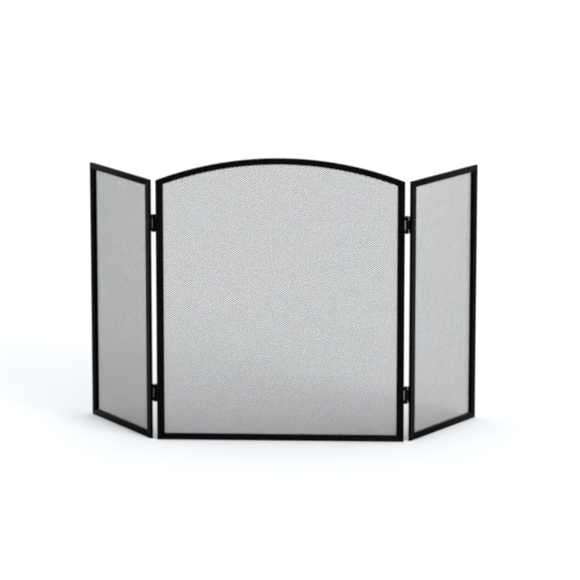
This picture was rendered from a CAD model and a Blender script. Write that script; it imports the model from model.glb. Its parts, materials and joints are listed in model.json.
import json
import math

import bmesh
import bpy
import numpy as np
from mathutils import Matrix, Vector

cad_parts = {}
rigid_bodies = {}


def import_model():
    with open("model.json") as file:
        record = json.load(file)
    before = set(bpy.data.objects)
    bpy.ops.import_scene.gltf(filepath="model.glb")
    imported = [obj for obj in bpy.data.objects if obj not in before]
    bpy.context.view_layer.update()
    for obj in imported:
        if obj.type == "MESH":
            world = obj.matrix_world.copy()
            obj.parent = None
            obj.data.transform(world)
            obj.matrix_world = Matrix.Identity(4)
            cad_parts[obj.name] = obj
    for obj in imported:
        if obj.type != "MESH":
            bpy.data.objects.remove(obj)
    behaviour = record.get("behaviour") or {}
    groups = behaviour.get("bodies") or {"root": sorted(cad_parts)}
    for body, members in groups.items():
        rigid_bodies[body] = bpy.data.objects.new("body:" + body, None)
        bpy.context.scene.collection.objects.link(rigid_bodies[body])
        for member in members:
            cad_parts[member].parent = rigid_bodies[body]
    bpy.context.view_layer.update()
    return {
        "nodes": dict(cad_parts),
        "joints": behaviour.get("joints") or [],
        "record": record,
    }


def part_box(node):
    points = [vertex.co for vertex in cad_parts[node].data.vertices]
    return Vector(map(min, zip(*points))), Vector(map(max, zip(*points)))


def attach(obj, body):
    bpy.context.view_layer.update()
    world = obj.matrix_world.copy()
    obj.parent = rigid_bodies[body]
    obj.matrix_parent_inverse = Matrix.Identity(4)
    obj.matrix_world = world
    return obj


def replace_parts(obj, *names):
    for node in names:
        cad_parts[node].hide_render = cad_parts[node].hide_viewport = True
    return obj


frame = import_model()

MM = 0.001
JOINTS = {joint["child"]: joint for joint in frame["joints"]}
PANELS = {"centre": "centre_panel", "left": "left_panel", "right": "right_panel"}


# ---- the panels' own flat frames -----------------------------------------------------------

def panel_matrix(panel):
    """Takes a point of a panel drawn flat, in line with the centre panel, to where it stands."""
    joint = JOINTS.get(PANELS[panel])
    if joint is None:
        return Matrix.Identity(4)
    flat_to_shut = 180.0
    rest_fold = math.radians(flat_to_shut - joint["range_deg"][1])
    hinge = Matrix.Translation(Vector(joint["pos_m"]))
    return hinge @ Matrix.Rotation(rest_fold, 4, Vector(joint["axis"])) @ hinge.inverted()


MATRICES = {panel: panel_matrix(panel) for panel in PANELS}


def flat_box(panel, node):
    """A CAD node's lowest and highest corners in its panel's flat frame."""
    back = MATRICES[panel].inverted()
    points = [back @ vertex.co for vertex in frame["nodes"][node].data.vertices]
    return [Vector([pick(point[axis] for point in points) for axis in range(3)])
            for pick in (min, max)]


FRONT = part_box("centre_bottom_rail")[0].y
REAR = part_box("centre_bottom_rail")[1].y
DEPTH = REAR - FRONT
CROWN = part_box("centre_arched_rail")[1].z
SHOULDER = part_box("centre_left_stile")[1].z
HALF_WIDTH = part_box("centre_right_stile")[1].x
STILE_FACE = HALF_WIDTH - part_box("centre_right_stile")[0].x
RAIL_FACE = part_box("centre_bottom_rail")[1].z
MESH_LAP = RAIL_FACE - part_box("centre_mesh")[0].z
STRIP_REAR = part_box("centre_bottom_strip")[1].y
ARCH_RISE = CROWN - SHOULDER
ARCH_RADIUS = (HALF_WIDTH ** 2 + ARCH_RISE ** 2) / (2 * ARCH_RISE)
ARCH_CENTRE = CROWN - ARCH_RADIUS


def arch_z(x, inset):
    """Height of the arc `inset` inside the arch's outer edge."""
    return ARCH_CENTRE + np.sqrt(np.maximum((ARCH_RADIUS - inset) ** 2 - x ** 2, 0))


# ---- building meshes -----------------------------------------------------------------------

def add_piece(name, panel, mesh, material):
    mesh.materials.append(material)
    piece = bpy.data.objects.new(name, mesh)
    bpy.context.scene.collection.objects.link(piece)
    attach(piece, PANELS[panel])
    return piece


def new_mesh(name, panel, vertices, faces):
    """A mesh drawn in the panel's flat frame, put where the panel stands."""
    mesh = bpy.data.meshes.new(name)
    mesh.from_pydata([tuple(vertex) for vertex in vertices], [], [tuple(face) for face in faces])
    mesh.transform(MATRICES[panel])
    mesh.validate()
    mesh.update()
    return mesh


CREASE_DEG = 40.0
WELD_CREASE_DEG = 60.0


def smooth_solid(mesh, crease_deg=CREASE_DEG):
    """Turns every face outwards, and shades smoothly across all but the sharp edges."""
    work = bmesh.new()
    work.from_mesh(mesh)
    bmesh.ops.recalc_face_normals(work, faces=work.faces)
    work.to_mesh(mesh)
    work.free()
    mesh.shade_smooth()
    mesh.set_sharp_from_angle(angle=math.radians(crease_deg))
    return mesh


# ---- expanded metal ------------------------------------------------------------------------

LONG_WAY = 6.95 * MM        # of one diamond, across the panel
SHORT_WAY = 4.45 * MM
STRAND = 1.0 * MM           # width of a strand in the sheet's plane
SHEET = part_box("centre_mesh")[1].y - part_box("centre_mesh")[0].y
GAUGE = SHEET / 2
STRAND_TILT = SHEET / 4     # how far each strand's edges lean out of the sheet
CENTRE_BANDS = 3            # pieces of the centre sheet, which keeps each one's triangle count low


def lattice(low, high):
    """The diamonds' corners as (rows, columns, 4, 3): left, right, top and bottom of each."""
    inradius = (LONG_WAY * SHORT_WAY / 4) / math.hypot(LONG_WAY / 2, SHORT_WAY / 2)
    opening = 1 - STRAND / 2 / inradius
    rows = int((high.z - low.z) / SHORT_WAY * 2) + 5
    columns = int((high.x - low.x) / LONG_WAY) + 4
    row, column = np.meshgrid(np.arange(rows), np.arange(columns), indexing="ij")
    x = low.x + (column - 1 + row % 2 / 2) * LONG_WAY
    z = low.z + (row - 2) * SHORT_WAY / 2
    reach = (LONG_WAY / 2 * opening, SHORT_WAY / 2 * opening)
    corners = np.zeros((rows, columns, 4, 3))
    corners[..., 0] = x[..., None] + np.array([-reach[0], reach[0], 0, 0])
    corners[..., 1] = (low.y + high.y) / 2 + np.array([0, 0, -STRAND_TILT, STRAND_TILT])
    corners[..., 2] = z[..., None] + np.array([0, 0, reach[1], -reach[1]])
    return corners


def lattice_faces(rows, columns):
    """Four-cornered faces of the strands and bonds, each listed by its corner numbers."""
    left, right, top, bottom = range(4)
    row, column = np.meshgrid(np.arange(rows - 2), np.arange(1, columns - 1), indexing="ij")
    shift = row % 2

    def corner(rows_up, column_of, which):
        return ((row + rows_up) * columns + column_of) * 4 + which

    east, west = column + shift, column - 1 + shift
    rising = [corner(0, column, top), corner(0, column, right),
              corner(1, east, bottom), corner(1, east, left)]
    falling = [corner(0, column, left), corner(0, column, top),
               corner(1, west, right), corner(1, west, bottom)]
    bond = [corner(0, column, top), corner(1, east, left),
            corner(2, column, bottom), corner(1, west, right)]
    return np.concatenate([np.stack(face, axis=-1).reshape(-1, 4) for face in (rising, falling, bond)])


def thicken(points, faces):
    """Turns a sheet of faces into a closed solid as thick as the gauge."""
    used, faces = np.unique(faces, return_inverse=True)
    faces = faces.reshape(-1, 4)
    points = points[used]
    count = len(points)
    front = points - np.array([0, GAUGE / 2, 0])
    rear = points + np.array([0, GAUGE / 2, 0])
    edges = np.concatenate([np.stack([faces[:, n], faces[:, (n + 1) % 4]], axis=1) for n in range(4)])
    key = np.sort(edges, axis=1)
    _, index, seen = np.unique(key[:, 0] * count + key[:, 1], return_index=True, return_counts=True)
    rim = edges[index[seen == 1]]
    walls = np.stack([rim[:, 1], rim[:, 0], rim[:, 0] + count, rim[:, 1] + count], axis=1)
    return np.concatenate([front, rear]), np.concatenate([faces, faces[:, ::-1] + count, walls])


def expanded_metal(panel, material, bands, top=None):
    """The mesh of one panel, cut where `top` says, in as many upright bands as are asked for."""
    node = f"{panel}_mesh"
    low, high = flat_box(panel, node)
    corners = lattice(low, high)
    faces = lattice_faces(*corners.shape[:2])
    points = corners.reshape(-1, 3)
    at = points[faces]
    ceiling = high.z if top is None else top(at[..., 0])
    inside = ((at[..., 0] > low.x) & (at[..., 0] < high.x)
              & (at[..., 2] > low.z) & (at[..., 2] < ceiling)).all(axis=1)
    faces, middle = faces[inside], at.mean(axis=1)[inside, 0]
    for band in range(bands):
        start, end = (low.x + (high.x - low.x) * step / bands for step in (band, band + 1))
        chosen = faces[(middle >= start) & (middle < end)]
        suffix = "" if bands == 1 else f"_{band + 1}"
        mesh = new_mesh(f"{node}_{band}", panel, *thicken(points, chosen))
        sheet = add_piece(f"{panel}_expanded_metal{suffix}", panel, mesh, material)
        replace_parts(sheet, node)


# ---- frame members -------------------------------------------------------------------------

TUBE_WALL = 1.0 * MM
TUBE_CORNER = 1.1 * MM      # outside radius of the tube's long edges
SEAM_DEPTH = 0.15 * MM      # the fine groove left where a dressed mitre is welded
SEAM_REACH = 0.35 * MM
ARCH_STEPS = 72
CORNER_STEPS = 5
FLANK_REACH = 0.15 * MM     # how far past a rounded corner its flanking points lie


def section(face, inset, radius):
    """A rounded rectangle, `inset` inside the tube's outside: (across from the outer edge, back)."""
    low, high_across, high_back = inset, face - inset, DEPTH - inset
    points = []
    for centre_across, centre_back, turn in ((high_across - radius, high_back - radius, 0),
                                             (low + radius, high_back - radius, 90),
                                             (low + radius, low + radius, 180),
                                             (high_across - radius, low + radius, 270)):
        for step in range(CORNER_STEPS + 1):
            angle = math.radians(turn + 90 * step / CORNER_STEPS)
            out = Vector((math.cos(angle), math.sin(angle))) * radius
            points.append(Vector((centre_across, centre_back)) + out)
    return points


def with_flanks(points):
    """Adds a point just past each end of every rounded corner, which keeps the flats shaded flat."""
    flanked = []
    for n, point in enumerate(points):
        before, after = points[n - 1], points[(n + 1) % len(points)]
        if n % (CORNER_STEPS + 1) == 0:
            flanked.append(point + (before - point).normalized() * FLANK_REACH)
        flanked.append(point)
        if n % (CORNER_STEPS + 1) == CORNER_STEPS:
            flanked.append(point + (after - point).normalized() * FLANK_REACH)
    return flanked


def tube(panel, node, face, place, alongs, front, material):
    """A hollow mitred tube. place(across, along) is its (x, z), and along runs from 0 to 1."""
    rings = []
    for along, groove in alongs:
        rings.append((along, with_flanks(section(face, groove, TUBE_CORNER))))
    bore = with_flanks(section(face, TUBE_WALL, TUBE_CORNER / 4))
    rings += [(along, bore) for along, _ in reversed(alongs)]
    vertices = []
    for along, outline in rings:
        for across, back in outline:
            x, z = place(across, along)
            vertices.append((x, front + back, z))
    count = len(bore)
    faces = []
    for ring in range(len(rings)):
        here, there = ring * count, (ring + 1) % len(rings) * count
        for n in range(count):
            after = (n + 1) % count
            faces.append((here + n, here + after, there + after, there + n))
    mesh = smooth_solid(new_mesh(node, panel, vertices, faces))
    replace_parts(add_piece(f"{node}_tube", panel, mesh, material), node)


def straight(face, outer, inner):
    """place() for a tube between the lines outer and inner, each a start and an end (x, z)."""
    def place(across, along):
        near = Vector(outer[0]).lerp(Vector(outer[1]), along)
        return near.lerp(Vector(inner[0]).lerp(Vector(inner[1]), along), across / face)
    return place


def end_grooves(length, steps=1):
    """Where a tube's rings go, as (along, groove), with the seam at both ends."""
    reach = SEAM_REACH / length
    middle = [(step / steps, 0.0) for step in range(1, steps)]
    return [(0.0, SEAM_DEPTH), (reach, 0.0), *middle, (1.0 - reach, 0.0), (1.0, SEAM_DEPTH)]


def level_tube(panel, node, left, right, outer, inward, front, material):
    inner = outer + inward * RAIL_FACE
    place = straight(RAIL_FACE, ((left, outer), (right, outer)),
                     ((left + STILE_FACE, inner), (right - STILE_FACE, inner)))
    tube(panel, node, RAIL_FACE, place, end_grooves(right - left), front, material)


def upright_tube(panel, node, outer, inward, front, material, arched=False):
    def place(across, along):
        x = outer + inward * across
        foot = RAIL_FACE * across / STILE_FACE
        top = arch_z(x, foot) if arched else SHOULDER - foot
        return x, foot + (top - foot) * along
    tube(panel, node, STILE_FACE, place, end_grooves(SHOULDER), front, material)


def arched_tube(panel, node, front, material):
    def place(across, along):
        x = (HALF_WIDTH - STILE_FACE * across / RAIL_FACE) * (2 * along - 1)
        return x, arch_z(x, across)
    tube(panel, node, RAIL_FACE, place, end_grooves(2 * HALF_WIDTH, ARCH_STEPS), front, material)


def panel_edges(panel):
    """X of the panel's left and right edges, flat, and Y of its front."""
    stiles = ("left", "right") if panel == "centre" else ("hinge", "outer")
    boxes = [flat_box(panel, f"{panel}_{stile}_stile") for stile in stiles]
    return min(box[0].x for box in boxes), max(box[1].x for box in boxes), boxes[0][0].y


def frame_tubes(material):
    left, right, front = panel_edges("centre")
    upright_tube("centre", "centre_left_stile", left, 1, front, material, arched=True)
    upright_tube("centre", "centre_right_stile", right, -1, front, material, arched=True)
    level_tube("centre", "centre_bottom_rail", left, right, 0.0, 1, front, material)
    arched_tube("centre", "centre_arched_rail", front, material)
    for panel in ("left", "right"):
        left, right, front = panel_edges(panel)
        on_left, on_right = ("outer", "hinge") if panel == "left" else ("hinge", "outer")
        upright_tube(panel, f"{panel}_{on_left}_stile", left, 1, front, material)
        upright_tube(panel, f"{panel}_{on_right}_stile", right, -1, front, material)
        level_tube(panel, f"{panel}_bottom_rail", left, right, 0.0, 1, front, material)
        level_tube(panel, f"{panel}_top_rail", left, right, SHOULDER, -1, front, material)


# ---- welds ---------------------------------------------------------------------------------

BEAD_WIDTH = 2.6 * MM
BEAD_HEIGHT = 0.55 * MM
BEAD_SUNK = 0.1 * MM        # how far a bead's edges lie under the surface that it is on
BEAD_STEPS = 40
BEAD_SIDES = 8
BEAD_TAPER = 8              # the higher, the blunter a bead's ends
BEAD_END_WIDTH = 0.25       # of a bead's full width
BEAD_SPAN = (0.1, 0.56)     # where a bead starts and ends along its mitre
RIPPLE = 0.9 * MM
RIPPLE_HEIGHT = 0.14        # of a bead's height
SPOT_PITCH = 42 * MM
SPOT_RADIUS = 2.3 * MM
SPOT_SIDES = 20
# a spot weld's profile, as (share of its radius, height over the strip)
SPOT_PROFILE = [(1.0, -0.05 * MM), (0.86, 0.16 * MM), (0.68, 0.2 * MM), (0.45, 0.1 * MM), (0.2, 0.06 * MM)]


def weld_bead(start, end, surface):
    """A rippled half-round bead from start to end, both (x, z), on the face at Y = surface."""
    along = end - start
    side = Vector((-along.y, along.x)).normalized()
    vertices, faces = [], []
    for step in range(BEAD_STEPS + 1):
        part = step / BEAD_STEPS
        taper = math.sqrt(max(1 - (2 * part - 1) ** BEAD_TAPER, 0.0))
        ripple = 1 + RIPPLE_HEIGHT * math.sin(2 * math.pi * part * along.length / RIPPLE)
        half_width = BEAD_WIDTH / 2 * (BEAD_END_WIDTH + (1 - BEAD_END_WIDTH) * taper)
        for n in range(BEAD_SIDES + 1):
            angle = math.pi * n / BEAD_SIDES
            place = start + along * part + side * (half_width * math.cos(angle))
            rise = BEAD_HEIGHT * math.sin(angle) * taper * ripple
            vertices.append((place.x, surface - BEAD_SUNK + rise, place.y))
    row = BEAD_SIDES + 1
    for step in range(BEAD_STEPS):
        for n in range(BEAD_SIDES):
            low = step * row + n
            faces.append((low, low + 1, low + row + 1, low + row))
        first, after = step * row, (step + 1) * row
        faces.append((first, after, after + BEAD_SIDES, first + BEAD_SIDES))
    faces.append(tuple(range(row)))
    faces.append(tuple(reversed(range(BEAD_STEPS * row, (BEAD_STEPS + 1) * row))))
    return vertices, faces


def spot_weld(centre, surface):
    """The low ring and dished middle that a spot welder leaves."""
    vertices, faces = [], []
    for share, rise in SPOT_PROFILE:
        for n in range(SPOT_SIDES):
            angle = 2 * math.pi * n / SPOT_SIDES
            vertices.append((centre[0] + SPOT_RADIUS * share * math.cos(angle), surface + rise,
                             centre[1] + SPOT_RADIUS * share * math.sin(angle)))
    last = len(SPOT_PROFILE) - 1
    for ring in range(last):
        for n in range(SPOT_SIDES):
            here, after = ring * SPOT_SIDES + n, ring * SPOT_SIDES + (n + 1) % SPOT_SIDES
            faces.append((here, after, after + SPOT_SIDES, here + SPOT_SIDES))
    faces.append(tuple(range(SPOT_SIDES)))
    faces.append(tuple(reversed(range(last * SPOT_SIDES, (last + 1) * SPOT_SIDES))))
    return vertices, faces


def joined(parts):
    vertices, faces = [], []
    for part_vertices, part_faces in parts:
        start = len(vertices)
        vertices += part_vertices
        faces += [tuple(index + start for index in face) for face in part_faces]
    return vertices, faces


def corner_beads(panel, rear):
    """The weld beads on the rear of a panel's mitres, from near the outer corner to the strip."""
    left, right, _ = panel_edges(panel)
    beads = []
    for edge, inward in ((left, 1), (right, -1)):
        for outer, up in ((0.0, 1), (SHOULDER, -1)):
            inner = outer + up * RAIL_FACE
            if panel == "centre" and outer == SHOULDER:
                inner = arch_z(edge + inward * STILE_FACE, RAIL_FACE)
            corner = Vector((edge, outer))
            mitre = Vector((inward * STILE_FACE, inner - outer))
            start, end = (corner + mitre * share for share in BEAD_SPAN)
            beads.append(weld_bead(start, end, rear))
    return joined(beads)


def spot_places(panel):
    """Middles of the spot welds along the four strips, as (x, z)."""
    left, right, _ = panel_edges(panel)
    from_edge = STILE_FACE - MESH_LAP / 2
    low, high = RAIL_FACE - MESH_LAP / 2, SHOULDER - RAIL_FACE + MESH_LAP / 2
    inner = (left + from_edge, right - from_edge)
    across = np.linspace(*inner, round((inner[1] - inner[0]) / SPOT_PITCH) + 1)[1:-1]
    upward = np.linspace(low, high, round((high - low) / SPOT_PITCH) + 1)[1:-1]
    places = [(x, low) for x in across]
    places += [(x, z) for x in inner for z in upward]
    if panel == "centre":
        return places + [(x, arch_z(x, RAIL_FACE - MESH_LAP / 2)) for x in across]
    return places + [(x, high) for x in across]


def welds(material):
    for panel in PANELS:
        front = panel_edges(panel)[2]
        beads = new_mesh(f"{panel}_beads", panel, *corner_beads(panel, front + DEPTH))
        add_piece(f"{panel}_weld_beads", panel,
                  smooth_solid(beads, WELD_CREASE_DEG), material)
        surface = front + STRIP_REAR - FRONT
        spots = joined([spot_weld(place, surface) for place in spot_places(panel)])
        mesh = new_mesh(f"{panel}_spots", panel, *spots)
        add_piece(f"{panel}_spot_welds", panel,
                  smooth_solid(mesh, WELD_CREASE_DEG), material)


# ---- eased edges ---------------------------------------------------------------------------

SLOT_OF = {subpart["node"]: subpart["material_slot"] for subpart in frame["record"]["subparts"]}
PANEL_OF = {node: panel for panel, body in PANELS.items()
            for node in frame["record"]["behaviour"]["bodies"][body]}
EASED = {"strip_powder_coat": 0.2 * MM, "hinge_paint": 0.25 * MM}
SAME_POINT = 0.001 * MM
SAME_PLANE_DEG = 1
EASED_CREASE_DEG = 30


def eased(node, width, material):
    """A copy of a CAD part with its sharp edges rounded over, as deburring and paint leave them."""
    mesh = frame["nodes"][node].data.copy()
    mesh.materials.clear()
    work = bmesh.new()
    work.from_mesh(mesh)
    bmesh.ops.remove_doubles(work, verts=work.verts, dist=SAME_POINT)
    bmesh.ops.dissolve_limit(work, angle_limit=math.radians(SAME_PLANE_DEG), verts=work.verts,
                             edges=work.edges)
    sharp = [edge for edge in work.edges
             if edge.is_manifold and edge.calc_face_angle() > math.radians(CREASE_DEG)]
    bmesh.ops.bevel(work, geom=sharp, offset=width, segments=2, profile=0.5, affect="EDGES",
                    clamp_overlap=True)
    work.to_mesh(mesh)
    work.free()
    mesh.shade_smooth()
    mesh.set_sharp_from_angle(angle=math.radians(EASED_CREASE_DEG))
    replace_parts(add_piece(f"{node}_eased", PANEL_OF[node], mesh, material), node)


# ---- materials -----------------------------------------------------------------------------

MIX_COLOURS = (6, 7)        # a Mix node's two colour inputs
DUST = (0.045, 0.043, 0.04)
SCUFF = (0.03, 0.029, 0.028)
RUBBED = (0.02, 0.02, 0.021)
SCUFF_FROM, SCUFF_TO = 2.5 * MM, 0.3 * MM       # heights where scuffs begin and are full
KNUCKLE_RADIUS = 3.5 * MM

def node(tree, kind, **settings):
    made = tree.nodes.new(f"ShaderNode{kind}")
    for key, setting in settings.items():
        if key in made.inputs:
            made.inputs[key].default_value = setting
        else:
            setattr(made, key, setting)
    return made


def ramp(tree, low, dark, high, light):
    """A colour ramp from `dark` at `low` to `light` at `high`."""
    made = node(tree, "ValToRGB")
    for element, place, colour in zip(made.color_ramp.elements, (low, high), (dark, light)):
        element.position = place
        element.color = (*colour, 1)
    return made


def mixed(tree, factor, first, second):
    """The colour output of a mix of two colours, each a socket or a fixed colour."""
    mix = node(tree, "Mix", data_type="RGBA")
    tree.links.new(factor, mix.inputs["Factor"])
    for index, colour in zip(MIX_COLOURS, (first, second)):
        socket = mix.inputs[index]
        if isinstance(colour, tuple):
            socket.default_value = (*colour, 1)
        else:
            tree.links.new(colour, socket)
    return mix.outputs[2]


def product(tree, first, second):
    maths = node(tree, "Math", operation="MULTIPLY")
    for socket, factor in zip(maths.inputs, (first, second)):
        if isinstance(factor, float):
            socket.default_value = factor
        else:
            tree.links.new(factor, socket)
    return maths.outputs["Value"]


def mapped(tree, source, low, high, to_low, to_high):
    made = node(tree, "MapRange")
    tree.links.new(source, made.inputs["Value"])
    for name, number in (("From Min", low), ("From Max", high), ("To Min", to_low), ("To Max", to_high)):
        made.inputs[name].default_value = number
    return made.outputs["Result"]


def rubbed_knuckles(tree, place):
    """1 on the knuckles, in rings round the pin, and 0 on the leaves."""
    hinge = JOINTS[PANELS["right"]]["pos_m"]
    parts = node(tree, "SeparateXYZ")
    tree.links.new(place.outputs["Object"], parts.inputs["Vector"])
    mirrored = node(tree, "Math", operation="ABSOLUTE")
    tree.links.new(parts.outputs["X"], mirrored.inputs[0])
    offset = node(tree, "Math", operation="SUBTRACT")
    tree.links.new(mirrored.outputs["Value"], offset.inputs[0])
    offset.inputs[1].default_value = hinge[0]
    from_axis = node(tree, "CombineXYZ")
    tree.links.new(offset.outputs["Value"], from_axis.inputs["X"])
    tree.links.new(parts.outputs["Y"], from_axis.inputs["Y"])
    distance = node(tree, "VectorMath", operation="DISTANCE")
    tree.links.new(from_axis.outputs["Vector"], distance.inputs[0])
    distance.inputs[1].default_value = (0, hinge[1], 0)
    near = mapped(tree, distance.outputs["Value"], KNUCKLE_RADIUS - 0.1 * MM, KNUCKLE_RADIUS + 0.4 * MM,
                  1, 0)
    stretch = node(tree, "Mapping")
    stretch.inputs["Scale"].default_value = (60, 60, 900)
    tree.links.new(place.outputs["Object"], stretch.inputs["Vector"])
    rings = node(tree, "TexNoise", Scale=1.0, Detail=3.0)
    tree.links.new(stretch.outputs["Vector"], rings.inputs["Vector"])
    return product(tree, near, mapped(tree, rings.outputs["Fac"], 0.52, 0.7, 0, 0.6))


def powder_coat(name, base, gloss=(0.38, 0.52), level=0.02, peel=1.3 * MM, peel_height=0.02 * MM,
                grain=0.32 * MM, grain_height=0.006 * MM, dust=0.35, knuckles=False):
    """Black powder coat with orange peel and fine grain, and a cloudy tone and gloss.

    Dust lies on what faces up. The lowest few millimetres, dragged over the hearth, are scuffed.
    """
    material = bpy.data.materials.new(name)
    material.use_nodes = True
    tree = material.node_tree
    link = tree.links.new
    shader = tree.nodes["Principled BSDF"]
    shader.inputs["Specular IOR Level"].default_value = level
    place = node(tree, "TexCoord")
    surface = node(tree, "NewGeometry")
    cloud = node(tree, "TexNoise", Scale=18.0, Detail=4.0, Roughness=0.55)
    specks = node(tree, "TexNoise", Scale=700.0, Detail=2.0, Roughness=0.6)
    coarse = node(tree, "TexNoise", Scale=1 / peel, Detail=1.0)
    fine = node(tree, "TexNoise", Scale=1 / grain, Detail=2.0)
    for texture in (cloud, specks, coarse, fine):
        link(place.outputs["Object"], texture.inputs["Vector"])

    dark, light = (tuple(channel * share for channel in base) for share in (0.7, 1.35))
    tone = ramp(tree, 0.3, dark, 0.7, light)
    link(cloud.outputs["Fac"], tone.inputs["Fac"])
    facing = node(tree, "SeparateXYZ")
    link(surface.outputs["Normal"], facing.inputs["Vector"])
    settled = product(tree, mapped(tree, facing.outputs["Z"], 0.5, 1.0, 0, dust),
                      mapped(tree, specks.outputs["Fac"], 0.42, 0.6, 0.2, 1))
    colour = mixed(tree, settled, tone.outputs["Color"], DUST)
    height = node(tree, "SeparateXYZ")
    link(place.outputs["Object"], height.inputs["Vector"])
    scuffed = product(tree, mapped(tree, height.outputs["Z"], SCUFF_TO, SCUFF_FROM, 1, 0),
                      mapped(tree, specks.outputs["Fac"], 0.5, 0.7, 0, 0.5))
    colour = mixed(tree, scuffed, colour, SCUFF)
    if knuckles:
        colour = mixed(tree, rubbed_knuckles(tree, place), colour, RUBBED)
    link(colour, shader.inputs["Base Color"])
    link(mapped(tree, cloud.outputs["Fac"], 0.3, 0.7, *gloss), shader.inputs["Roughness"])

    peel_bump = node(tree, "Bump", Strength=0.7, Distance=peel_height)
    grain_bump = node(tree, "Bump", Strength=0.7, Distance=grain_height)
    link(coarse.outputs["Fac"], peel_bump.inputs["Height"])
    link(fine.outputs["Fac"], grain_bump.inputs["Height"])
    link(peel_bump.outputs["Normal"], grain_bump.inputs["Normal"])
    link(grain_bump.outputs["Normal"], shader.inputs["Normal"])
    return material


def blackened_steel(name):
    """The hinge pins: oil-blackened steel, rubbed brighter in rings where the knuckles turn."""
    material = bpy.data.materials.new(name)
    material.use_nodes = True
    tree = material.node_tree
    shader = tree.nodes["Principled BSDF"]
    shader.inputs["Metallic"].default_value = 1.0
    place = node(tree, "TexCoord")
    stretch = node(tree, "Mapping")
    stretch.inputs["Scale"].default_value = (80, 80, 1500)
    rings = node(tree, "TexNoise", Scale=1.0, Detail=3.0)
    tree.links.new(place.outputs["Object"], stretch.inputs["Vector"])
    tree.links.new(stretch.outputs["Vector"], rings.inputs["Vector"])
    tone = ramp(tree, 0.4, (0.022, 0.022, 0.024), 0.7, (0.11, 0.108, 0.105))
    tree.links.new(rings.outputs["Fac"], tone.inputs["Fac"])
    tree.links.new(tone.outputs["Color"], shader.inputs["Base Color"])
    tree.links.new(mapped(tree, rings.outputs["Fac"], 0.3, 0.7, 0.5, 0.3), shader.inputs["Roughness"])
    bump = node(tree, "Bump", Strength=0.5, Distance=0.01 * MM)
    tree.links.new(rings.outputs["Fac"], bump.inputs["Height"])
    tree.links.new(bump.outputs["Normal"], shader.inputs["Normal"])
    return material


BLACK = (0.001, 0.001, 0.0012)
COATS = {
    "frame_powder_coat": powder_coat("frame_powder_coat", BLACK),
    "mesh_powder_coat": powder_coat("mesh_powder_coat", (0.006, 0.0065, 0.009), level=0.6, peel=0.9 * MM,
                                    peel_height=0.012 * MM, dust=0.2),
    "strip_powder_coat": powder_coat("strip_powder_coat", BLACK, gloss=(0.42, 0.56), level=0.15),
    "hinge_paint": powder_coat("hinge_paint", BLACK, gloss=(0.34, 0.46), knuckles=True),
    "rivet_powder_coat": powder_coat("rivet_powder_coat", BLACK, gloss=(0.34, 0.46),
                                     peel_height=0.012 * MM),
    "hinge_pin_steel": blackened_steel("hinge_pin_steel"),
}


# ---- the screen ----------------------------------------------------------------------------

for name, cad_node in frame["nodes"].items():
    cad_node.data.materials.clear()
    cad_node.data.materials.append(COATS[SLOT_OF[name]])

expanded_metal("centre", COATS["mesh_powder_coat"], CENTRE_BANDS,
               top=lambda x: arch_z(x, RAIL_FACE - MESH_LAP))
expanded_metal("left", COATS["mesh_powder_coat"], 1)
expanded_metal("right", COATS["mesh_powder_coat"], 1)
frame_tubes(COATS["frame_powder_coat"])
welds(COATS["strip_powder_coat"])
for name, slot in SLOT_OF.items():
    if slot in EASED:
        eased(name, EASED[slot], COATS[slot])


# ---- floor, light and camera ---------------------------------------------------------------

FLOOR_REACH = 30.0
FLOOR_TINT = (0.845, 0.865, 0.885, 1)
AROUND = 1.02               # strength of the even white light from all round
FILTER_PIXELS = 2.2         # wide enough to soften the fine weave evenly


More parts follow.
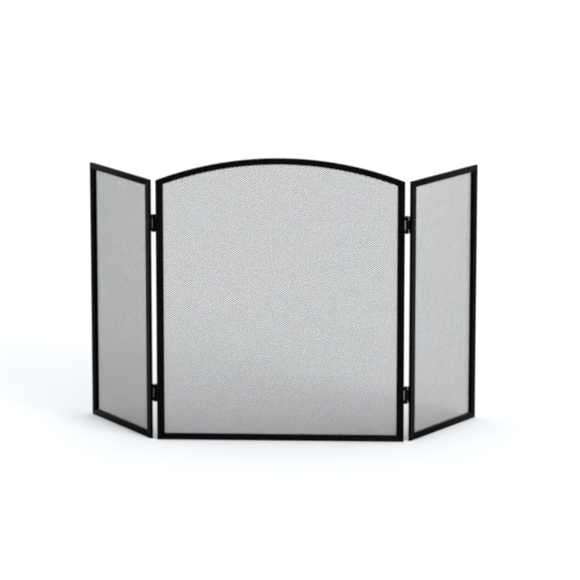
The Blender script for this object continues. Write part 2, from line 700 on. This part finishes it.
def studio():
    world = bpy.data.worlds.new("studio")
    bpy.context.scene.world = world
    world.use_nodes = True
    background = world.node_tree.nodes["Background"]
    background.inputs["Color"].default_value = (1, 1, 1, 1)
    background.inputs["Strength"].default_value = AROUND
    bpy.context.scene.view_settings.view_transform = "Standard"

    corners = [(x * FLOOR_REACH, y * FLOOR_REACH, 0) for x, y in ((-1, -1), (1, -1), (1, 1), (-1, 1))]
    mesh = bpy.data.meshes.new("floor")
    mesh.from_pydata(corners, [], [(0, 1, 2, 3)])
    floor = bpy.data.objects.new("floor", mesh)
    bpy.context.scene.collection.objects.link(floor)
    material = bpy.data.materials.new("floor_paper")
    material.use_nodes = True
    shader = material.node_tree.nodes["Principled BSDF"]
    shader.inputs["Base Color"].default_value = FLOOR_TINT
    shader.inputs["Roughness"].default_value = 0.9
    mesh.materials.append(material)


def sun(name, azimuth, elevation, strength, spread, lit=None):
    """A broad, even light on the pieces in `lit`, or on everything.

    azimuth is in degrees from straight in front, towards the right.
    """
    light = bpy.data.lights.new(name, "SUN")
    light.energy = strength
    light.angle = math.radians(spread)
    lamp = bpy.data.objects.new(name, light)
    turn, lift = math.radians(azimuth), math.radians(elevation)
    towards = Vector((math.sin(turn) * math.cos(lift), -math.cos(turn) * math.cos(lift), math.sin(lift)))
    lamp.rotation_euler = towards.to_track_quat("Z", "Y").to_euler()
    if lit:
        receivers = bpy.data.collections.new(f"{name}_receivers")
        for piece in lit:
            receivers.objects.link(piece)
        lamp.light_linking.receiver_collection = receivers
    bpy.context.scene.collection.objects.link(lamp)


VIEW_TARGET = Vector((0.0207, -0.0035, 0.3262))
VIEW_DISTANCE = 7.146
VIEW_AZIMUTH = math.radians(2.42)       # from straight in front, towards the right
VIEW_ELEVATION = math.radians(11.74)
FOCAL_PIXELS = 3409
IMAGE_PIXELS = 580


def camera():
    data = bpy.data.cameras.new("camera")
    data.sensor_width = 36.0
    data.lens = FOCAL_PIXELS / IMAGE_PIXELS * data.sensor_width
    data.clip_end = 100
    eye = bpy.data.objects.new("camera", data)
    outward = Vector((math.sin(VIEW_AZIMUTH) * math.cos(VIEW_ELEVATION),
                      -math.cos(VIEW_AZIMUTH) * math.cos(VIEW_ELEVATION), math.sin(VIEW_ELEVATION)))
    eye.location = VIEW_TARGET + outward * VIEW_DISTANCE
    eye.rotation_euler = (-outward).to_track_quat("-Z", "Y").to_euler()
    bpy.context.scene.collection.objects.link(eye)
    bpy.context.scene.camera = eye


studio()
sun("key", azimuth=45, elevation=16, strength=3.0, spread=30)
sheets = [piece for piece in bpy.data.objects if "expanded_metal" in piece.name]
sun("rim", azimuth=116, elevation=14, strength=3.3, spread=20, lit=sheets)
camera()
bpy.context.scene.cycles.filter_width = FILTER_PIXELS
